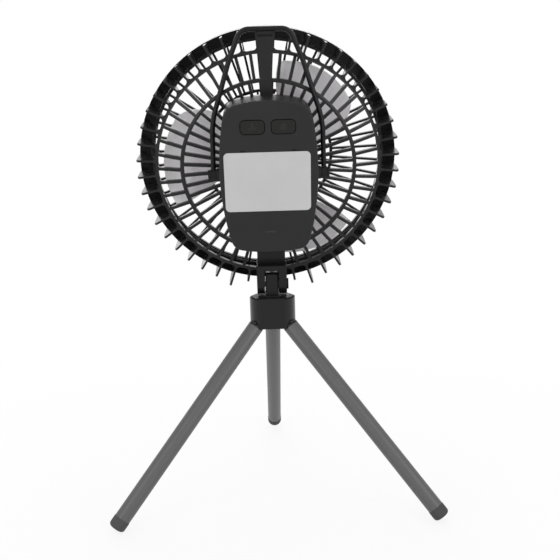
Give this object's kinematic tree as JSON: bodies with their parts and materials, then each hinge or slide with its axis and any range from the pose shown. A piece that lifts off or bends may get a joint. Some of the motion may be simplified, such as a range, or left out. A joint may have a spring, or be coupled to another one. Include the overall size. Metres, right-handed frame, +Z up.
{
  "type": "camping fan",
  "caption": "Small rechargeable fan with a ring lamp and a carrying bail, on a folding tripod with a swivelling, tilting neck.",
  "frame": {"origin": "on the floor, under the axis of the tripod hub", "axes": "+Z up, +Y the way the air blows, +X to the right seen from behind"},
  "size_m": [0.2254, 0.1967, 0.3297],
  "materials": {
    "black_plastic": "fine moulded grain, matt",
    "hub_plastic": "smooth moulded, satin",
    "leg_metal": "dark grey anodised, satin",
    "foot_rubber": "matt",
    "label_film": "bare silver film, satin",
    "button_plastic": "satin, domed",
    "blade_plastic": "pale lilac grey, satin",
    "diffuser_plastic": "milky, satin",
    "lens_plastic": "clear milky",
    "screw_steel": "zinc plated",
    "bail_wire": "black coated",
    "board": "green board",
    "lamp_board": "white coated",
    "led": "yellow phosphor",
    "battery": "wrapped cell",
    "foam": "foam",
    "motor_steel": "plated",
    "bush_brass": "sintered",
    "rotor_iron": "plain"
  },
  "bodies": {
    "base": {"tripod_hub": "hub_plastic", "leg_pins": "screw_steel"},
    "leg_front": {"leg_knuckle_front": "hub_plastic", "leg_tube_front": "leg_metal", "leg_foot_front": "foot_rubber"},
    "leg_rear_left": {"leg_knuckle_rear_left": "hub_plastic", "leg_tube_rear_left": "leg_metal", "leg_foot_rear_left": "foot_rubber"},
    "leg_rear_right": {"leg_knuckle_rear_right": "hub_plastic", "leg_tube_rear_right": "leg_metal", "leg_foot_rear_right": "foot_rubber"},
    "neck": {"neck_knuckle": "black_plastic", "swivel_screw": "screw_steel", "swivel_washer": "screw_steel"},
    "rotor": {"motor_shaft": "motor_steel", "motor_rotor": "rotor_iron", "fan_blades": "blade_plastic"},
    "bail": {"bail": "bail_wire"},
    "fan_key": {"button_fan": "button_plastic"},
    "light_key": {"button_light": "button_plastic"},
    "head": {"neck_fork": "black_plastic", "tilt_bolt": "screw_steel", "tilt_nut": "screw_steel", "tilt_pads": "foam", "rear_guard": "black_plastic", "pod_housing": "black_plastic", "pod_cover": "black_plastic", "cover_screws": "screw_steel", "guard_screws": "screw_steel", "fork_screws": "screw_steel", "label_plate": "label_film", "indicator_lens": "lens_plastic", "control_board": "board", "tact_switches": "black_plastic", "usb_socket": "screw_steel", "battery_pad": "foam", "battery_pack": "battery", "motor_can": "motor_steel", "motor_bushes": "bush_brass", "motor_screws": "screw_steel", "lamp_board": "lamp_board", "lamp_leds": "led", "lamp_diffuser": "diffuser_plastic", "front_guard": "black_plastic", "bail_pins": "screw_steel"}
  },
  "joints": [
    {"name": "leg_fold_front", "type": "hinge", "parent": "base", "child": "leg_front", "pos_m": [0, 0.0085, 0.12966], "axis": [-1, 0, 0], "range_deg": [0, 42.8]},
    {"name": "leg_fold_rear_left", "type": "hinge", "parent": "base", "child": "leg_rear_left", "pos_m": [-0.00736, -0.00425, 0.12966], "axis": [0.5, -0.866, 0], "range_deg": [0, 42.8]},
    {"name": "leg_fold_rear_right", "type": "hinge", "parent": "base", "child": "leg_rear_right", "pos_m": [0.00736, -0.00425, 0.12966], "axis": [0.5, 0.866, 0], "range_deg": [0, 42.8]},
    {"name": "neck_swivel", "type": "hinge", "parent": "base", "child": "neck", "pos_m": [0, 0, 0.14446], "axis": [0, 0, 1], "continuous": true},
    {"name": "head_tilt", "type": "hinge", "parent": "neck", "child": "head", "pos_m": [0, 0, 0.15246], "axis": [1, 0, 0], "range_deg": [-18, 75]},
    {"name": "fan_spin", "type": "hinge", "parent": "head", "child": "rotor", "pos_m": [0, 0.00429, 0.2352], "axis": [0, 0.9816, 0.1908], "continuous": true},
    {"name": "bail_swing", "type": "hinge", "parent": "head", "child": "bail", "pos_m": [0, -0.00956, 0.23047], "axis": [1, 0, 0], "range_deg": [0, 110]},
    {"name": "press_fan", "type": "slide", "parent": "head", "child": "fan_key", "axis": [0, 0.9816, 0.1908], "range_m": [0, 0.0006], "stiffness_N_per_m": 1000, "springref_m": -0.0008},
    {"name": "press_light", "type": "slide", "parent": "head", "child": "light_key", "axis": [0, 0.9816, 0.1908], "range_m": [0, 0.0006], "stiffness_N_per_m": 1000, "springref_m": -0.0008}
  ]
}
